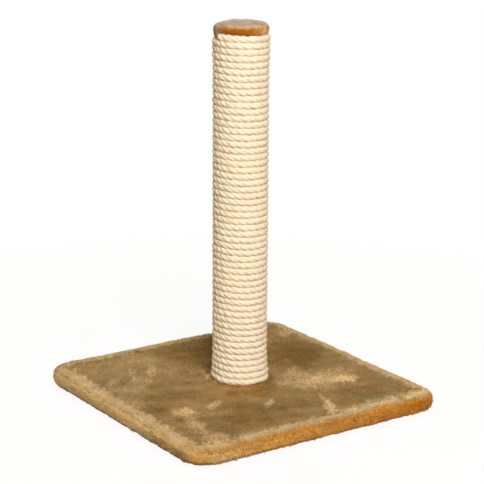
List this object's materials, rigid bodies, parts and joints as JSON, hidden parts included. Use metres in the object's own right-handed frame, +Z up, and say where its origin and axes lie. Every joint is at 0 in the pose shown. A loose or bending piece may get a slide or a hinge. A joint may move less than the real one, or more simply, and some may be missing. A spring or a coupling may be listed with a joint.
{
  "type": "cat scratching post",
  "caption": "Free-standing cat scratching post: a rope-wound cardboard tube with a plush cap, bolted upright to a square plush-covered board.",
  "frame": {"origin": "centre of the base's underside, on the surface that the post stands on", "axes": "+Z up along the post; X and Y along the base's sides, with -Y out of the front edge"},
  "size_m": [0.4, 0.4, 0.5196],
  "materials": {
    "chipboard": "raw pressed chips, matt",
    "base_plush": "short tan plush with brushed patches",
    "cap_plush": "short tan plush",
    "sisal": "natural three-strand sisal rope, hairy",
    "cardboard": "spiral-wound grey-brown board",
    "plug_wood": "sawn softwood",
    "zinc_steel": "bright zinc plating",
    "staple_wire": "galvanised flat wire"
  },
  "bodies": {
    "root": {"base_board": "chipboard", "base_cover": "base_plush", "cover_staples": "staple_wire", "post_tube": "cardboard", "lower_plug": "plug_wood", "upper_plug": "plug_wood", "plug_staples": "staple_wire", "pronged_nut": "zinc_steel", "post_bolt": "zinc_steel", "bolt_washer": "zinc_steel", "sisal_rope": "sisal", "rope_staples": "staple_wire", "cap_cover": "cap_plush", "cap_staples": "staple_wire"}
  },
  "joints": []
}
